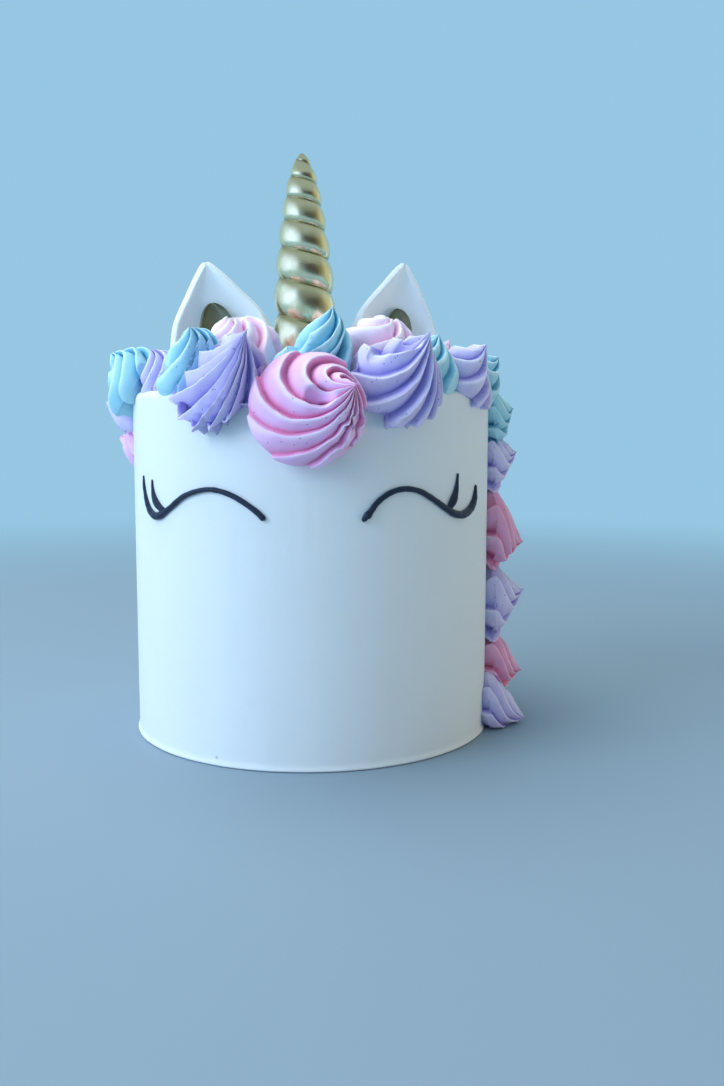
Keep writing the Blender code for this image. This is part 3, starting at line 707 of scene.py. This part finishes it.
# the noise vectors start from the clock unless they are seeded
noise.seed_set(7)
swirls = all_swirls()
for k, swirl in enumerate(swirls):
    name, colour = swirl[:2]
    ridges, levels = (8, 72) if k < len(SHOWN_SWIRLS) else (6, 44)
    # the one on the brow was piped last and spreads over its neighbours
    overlap = (8 if name == "pink_brow" else 1.5) * MM
    rings, grooves, crests = swirl_rings(swirl, pressing_walls(swirl, swirls, overlap), k, ridges, levels)
    # the marks hold painted shade in the grooves and a painted highlight on the crests
    mesh = ring_mesh("cream_" + name, rings, groove=grooves, crest=crests)
    # the middle points of the two ends aren't ragged
    points = worn_by_hand([v.co for v in mesh.vertices], [*crests.ravel(), 0, 0], k)
    for vertex, p in zip(mesh.vertices, points):
        vertex.co = p
    slot = PINK if colour in (TOP_LIT_PINK, DEEP_PINK) else colour
    keep_piece("cream_" + name, mesh, CREAMS[colour], slot, "swirl_" + name)

# The horn.
# A tapering rope of fondant wound round a stick in fat coils, dried hard, and brushed with gold lustre in
# alcohol. The coils climb to the left across the front, and each is fatter than the next one up.
HORN_HEIGHT = 101.5 * MM
# share of the height from the tip down, and the radius there
HORN_OUTLINE = (
    (0.0, 0.9 * MM), (0.025, 3.1 * MM), (0.085, 5.7 * MM), (0.17, 7.9 * MM), (0.26, 9.4 * MM),
    (0.36, 10.9 * MM), (0.47, 12.4 * MM), (0.61, 13.4 * MM), (0.8, 14.2 * MM), (1.0, 14.8 * MM),
)


def horn_rings():
    """Rings up the horn, swelling and sinking with the coil that they cross, and how deep each point lies."""
    shares, radii = zip(*HORN_OUTLINE)
    pitch, ratio, start = 15.4 * MM, 0.86, 34.2 * MM
    span = pitch / (1 - ratio)
    heights = HORN_HEIGHT * (1 - (1 - np.linspace(0, 1, 330)) ** 1.15)
    rings, grooves = [], []
    for height in heights:
        ring = []
        for share in np.linspace(0, 1, 112, endpoint=False):
            azimuth = math.tau * share - math.pi / 2
            passed = math.log(max(start + span - height, 1e-6) / span) / math.log(ratio) + share
            coil = passed % 1.0
            bulge = (1 - (2 * coil - 1) ** 2) ** 0.5
            # how deep in the groove between two coils each point lies, which the gold turns into painted shade
            grooves.append(max(0.0, 1 - bulge / 0.78) ** 1.3)
            around = np.interp(1 - height / HORN_HEIGHT, shares, radii) * (1 - 0.2 * (1 - bulge))
            around *= 1 + 0.012 * noise.noise((math.cos(azimuth) * 3, math.sin(azimuth) * 3, height * 160))
            ring.append((
                HORN_PLACE[0] - 1.4 * MM * height / HORN_HEIGHT + around * math.sin(azimuth),
                HORN_PLACE[1] - around * math.cos(azimuth), CAKE_HEIGHT + GAP + height,
            ))
        rings.append(ring)
    return rings, grooves


def gold_skin(name, light, dark, crease_shade, roughness, depth, scale):
    """Gold lustre brushed on in alcohol: satin metal, thin where the brush dragged, with painted shade in the
    grooves.
    """
    skin, tree, shader = bare_skin(name)
    place = put(tree, "ShaderNodeTexCoord").outputs["Object"]
    cloud = put(tree, "ShaderNodeTexNoise", {
        "Vector": place, "Scale": scale, "Detail": 5, "Roughness": 0.6,
    }).outputs["Fac"]
    fine = put(tree, "ShaderNodeTexNoise", {"Vector": place, "Scale": scale * 12, "Detail": 2}).outputs["Fac"]
    tint = two_tones(tree, cloud, 0.3, dark, 0.7, light)
    rough = stretch(tree, cloud, 0.3, 0.7, roughness + 0.08, roughness - 0.04)
    # painted shade: the colour goes towards the shade colour in the grooves
    groove = put(tree, "ShaderNodeAttribute", attribute_name="groove").outputs["Fac"]
    finish_skin(tree, shader, blend(tree, groove, tint, (*crease_shade, 1)), rough, fine, depth, 0.5)
    shader.inputs["Metallic"].default_value = 1.0
    return skin


# the third colour is the painted shade in the grooves between the coils
horn_gold = gold_skin(
    "gold", (0.97, 0.88, 0.60), (0.86, 0.76, 0.46), (0.34, 0.27, 0.10), 0.22, 0.04 * MM, 130,
)
rings, grooves = horn_rings()
keep_piece("wound_horn", ring_mesh("wound_horn", rings, groove=grooves), horn_gold, "gold", "horn")

# The ears.
# Leaf shapes cut from rolled white fondant, curled forward along both rims while soft, dried, and stood in
# the top icing. A smaller leaf painted dull gold lies in the hollow of each.
EAR_LEAN = math.radians(10.5)
EAR_LENGTH = 59 * MM
# distance down from the tip, and half the width there, in millimetres
EAR_OUTLINE = (
    (0, 0.9), (2, 2.6), (7, 6.7), (14, 11.8), (20, 16.2), (27, 20.3), (38, 23.2), (48, 22.2), (59, 18.4),
)
LEAF_OUTLINE = (
    (0, 0.9), (0.8, 2.4), (3.0, 4.6), (6.5, 6.4), (12, 8.2), (20, 9.6), (30, 9.6), (38.5, 8.0),
)


def curled_leaf(side, foot_x, turn, outline, drop, shift, thickness, forward):
    """Rings round a leaf-shaped plate turned about its foot, its rims curled forward and cut square."""
    path = smooth_path([(d * MM, w * MM) for d, w in outline], 7)
    rings = []
    columns = 34
    for down, half in path[::-1]:
        along = EAR_LENGTH - drop - down
        front, back = [], []
        for k in range(columns + 1):
            place = math.sin((k / columns - 0.5) * math.pi)
            across = half * place
            rim = (half - abs(across)) / (0.9 * MM)
            thick = thickness * (0.72 + 0.28 * math.sqrt(min(1.0, rim)))
            thick *= min(1.0, 0.25 + half / (3 * MM))
            curl = EAR_CURL * (half / EAR_HALF_WIDTH) ** 0.6
            bend = curl * abs(place) ** 3
            lean = math.atan(3 * curl * place ** 2 / half) * (1 if place > 0 else -1)
            level = across * math.cos(EAR_LEAN)
            z = CAKE_HEIGHT + GAP + along * math.cos(EAR_LEAN) - side * across * math.sin(EAR_LEAN)
            wave = 0.35 * MM * noise.noise((across * 60, z * 60, side))
            for row, face in ((front, -1), (back, 1)):
                off = face * thick / 2
                dx = level + shift + off * math.sin(lean)
                dy = wave - bend - forward + off * math.cos(lean)
                row.append((
                    foot_x + side * along * math.sin(EAR_LEAN) + dx * math.cos(turn) - dy * math.sin(turn),
                    EAR_DEPTH + dx * math.sin(turn) + dy * math.cos(turn), max(z, CAKE_HEIGHT + GAP),
                ))
        rings.append(front + back[::-1])
    return rings


def fondant_skin():
    """Rolled sugar paste: matt, faintly dusty, with the softest lumps."""
    skin, tree, shader = bare_skin("white_fondant")
    place = put(tree, "ShaderNodeTexCoord").outputs["Object"]
    cloud = put(tree, "ShaderNodeTexNoise", {"Vector": place, "Scale": 90, "Detail": 4}).outputs["Fac"]
    dust = put(tree, "ShaderNodeTexNoise", {"Vector": place, "Scale": 1400, "Detail": 2}).outputs["Fac"]
    tint = two_tones(tree, cloud, 0.3, (0.85, 0.92, 0.98), 0.7, (0.88, 0.94, 0.99))
    finish_skin(tree, shader, tint, stretch(tree, dust, 0.0, 1.0, 0.5, 0.75), dust, 0.05 * MM, 0.6)
    soften(shader, 0.35, (4, 4, 4))
    return skin


fondant = fondant_skin()
dull_gold = gold_skin(
    "leaf_gold", (0.38, 0.38, 0.26), (0.26, 0.26, 0.17), (0.2, 0.2, 0.1), 0.50, 0.06 * MM, 170,
)
for label, side, foot_x, turn, drop, shift in EARS:
    ear = ring_mesh("ear_" + label, curled_leaf(side, foot_x, turn, EAR_OUTLINE, 0.0, 0.0, 3.6 * MM, 0.0))
    keep_piece("curled_ear_" + label, ear, fondant, "white_fondant", "ear_" + label)
    leaf = ring_mesh("leaf_" + label, curled_leaf(
        side, foot_x, turn, LEAF_OUTLINE, drop, shift, 1.2 * MM, 2.9 * MM,
    ))
    keep_piece("painted_leaf_" + label, leaf, dull_gold, "gold", "ear_leaf_" + label)

# The floor, the light and the camera.
# A plain pale floor that fades into a pale blue room, which the gold mirrors bright at the left and dark on
# the viewer's side. Soft windows at the left, above and in front, and a warm lamp low at the right.
SKY = (0.34, 0.63, 0.85, 1)
ROOM_STRENGTH = 0.9
reach, level = 6, -0.2 * MM
ground = bpy.data.meshes.new("floor")
corners = [(x * reach, y * reach, level) for x, y in ((-1, -1), (1, -1), (1, 1), (-1, 1))]
ground.from_pydata(corners, [], [(0, 1, 2, 3)])
floor = bpy.data.objects.new("floor", ground)
bpy.context.scene.collection.objects.link(floor)
pale, tree, shader = bare_skin("pale_floor")
shader.inputs["Base Color"].default_value = (0.26, 0.34, 0.41, 1)
shader.inputs["Roughness"].default_value = 0.6
# the floor fades into the room some way off, so that it has no far edge
place = put(tree, "ShaderNodeTexCoord").outputs["Object"]
away = put(tree, "ShaderNodeVectorMath", {0: place}, operation="LENGTH")
far = put(tree, "ShaderNodeMapRange", {
    "Value": away.outputs["Value"], "From Min": 0.25, "From Max": 1.1,
}, interpolation_type="SMOOTHSTEP")
haze = put(tree, "ShaderNodeEmission", {"Color": SKY, "Strength": ROOM_STRENGTH})
faded = put(tree, "ShaderNodeMixShader", {
    0: far.outputs["Result"], 1: shader.outputs["BSDF"], 2: haze.outputs["Emission"],
})
tree.links.new(faded.outputs["Shader"], tree.nodes["Material Output"].inputs["Surface"])
ground.materials.append(pale)
floor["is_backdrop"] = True

room = bpy.data.worlds.new("pale_room")
room.use_nodes = True
bpy.context.scene.world = room
tree = room.node_tree
where = put(tree, "ShaderNodeSeparateXYZ", {0: put(tree, "ShaderNodeTexCoord").outputs["Generated"]})
ahead_of_face = put(tree, "ShaderNodeMath", {0: where.outputs["Y"], 1: -1.0}, operation="MULTIPLY")
azimuth = put(tree, "ShaderNodeMath", {
    0: where.outputs["X"], 1: ahead_of_face.outputs["Value"],
}, operation="ARCTAN2")
share = stretch(tree, azimuth.outputs["Value"], -math.pi, math.pi, 0.0, 1.0)
walls_seen = put(tree, "ShaderNodeValToRGB", {"Fac": share})
ramp = walls_seen.color_ramp
ramp.elements.remove(ramp.elements[1])
ramp.elements[0].position, ramp.elements[0].color = 0.0, SKY
for degrees, tint in (
    (-115, (0.50, 0.74, 0.88, 1)), (-68, (1.12, 1.58, 2.50, 1)), (-38, (1.02, 1.46, 2.30, 1)),
    (-16, (0.22, 0.33, 0.42, 1)), (8, (0.06, 0.08, 0.09, 1)), (48, (0.06, 0.055, 0.04, 1)),
    (74, (0.22, 0.22, 0.14, 1)), (104, (0.66, 0.70, 0.50, 1)), (150, SKY), (180, SKY),
):
    ramp.elements.new((degrees + 180) / 360).color = tint
high = put(tree, "ShaderNodeMapRange", {
    "Value": where.outputs["Z"], "From Min": 0.30, "From Max": 0.75,
}, interpolation_type="SMOOTHSTEP")
seen = blend(tree, high.outputs["Result"], walls_seen.outputs["Color"], (0.36, 0.48, 0.52, 1))
# a viewer on any side sees the plain sky; only the lit and mirroring surfaces see the painted room
rays = put(tree, "ShaderNodeLightPath")
behind = blend(tree, rays.outputs["Is Camera Ray"], seen, SKY)
background = tree.nodes["Background"]
tree.links.new(behind, background.inputs["Color"])
background.inputs["Strength"].default_value = ROOM_STRENGTH


def window(name, place, target, width, height, power, colour):
    """A rectangular light that faces a point, and that the gold doesn't mirror."""
    light = bpy.data.lights.new(name, "AREA")
    light.shape = "RECTANGLE"
    light.size, light.size_y, light.energy, light.color = width, height, power, colour
    thing = bpy.data.objects.new(name, light)
    bpy.context.scene.collection.objects.link(thing)
    thing.location = place
    thing.rotation_euler = (Vector(target) - Vector(place)).to_track_quat("-Z", "Y").to_euler()
    thing.visible_glossy = False


window("window_left", (-1.08, -0.55, 0.75), (0, 0, 0.1), 0.9, 0.9, 13.4, (0.72, 0.865, 1.0))
window("window_above", (-0.25, 0.15, 1.15), (0, 0, 0.15), 0.8, 0.8, 8.2, (0.88, 0.95, 1.0))
window("window_front", (0.25, -1.3, 0.5), (0, 0, 0.1), 1.1, 0.9, 1.3, (0.36, 0.76, 1.0))
window("lamp_right", (1.0, -0.28, 0.05), (0, 0, 0.03), 0.7, 0.3, 3.0, (1.0, 0.80, 0.64))
bpy.context.scene.view_settings.view_transform = "Standard"

# the camera as fitted to the photo: where it stands, and how far it looks down and right and rolls
camera = bpy.data.cameras.new("camera")
camera.lens, camera.sensor_width, camera.sensor_height, camera.sensor_fit = 35, 36, 36, "VERTICAL"
viewer = bpy.data.objects.new("camera", camera)
bpy.context.scene.collection.objects.link(viewer)
pitch, yaw, roll = math.radians(6.620), math.radians(2.701), math.radians(0.069)
ahead = Vector((math.sin(yaw) * math.cos(pitch), math.cos(yaw) * math.cos(pitch), -math.sin(pitch)))
viewer.matrix_world = (
    Matrix.Translation((0, -0.47666, 0.13608)) @ ahead.to_track_quat("-Z", "Y").to_matrix().to_4x4()
    @ Matrix.Rotation(roll, 4, "Z")
)
bpy.context.scene.camera = viewer

low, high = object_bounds()
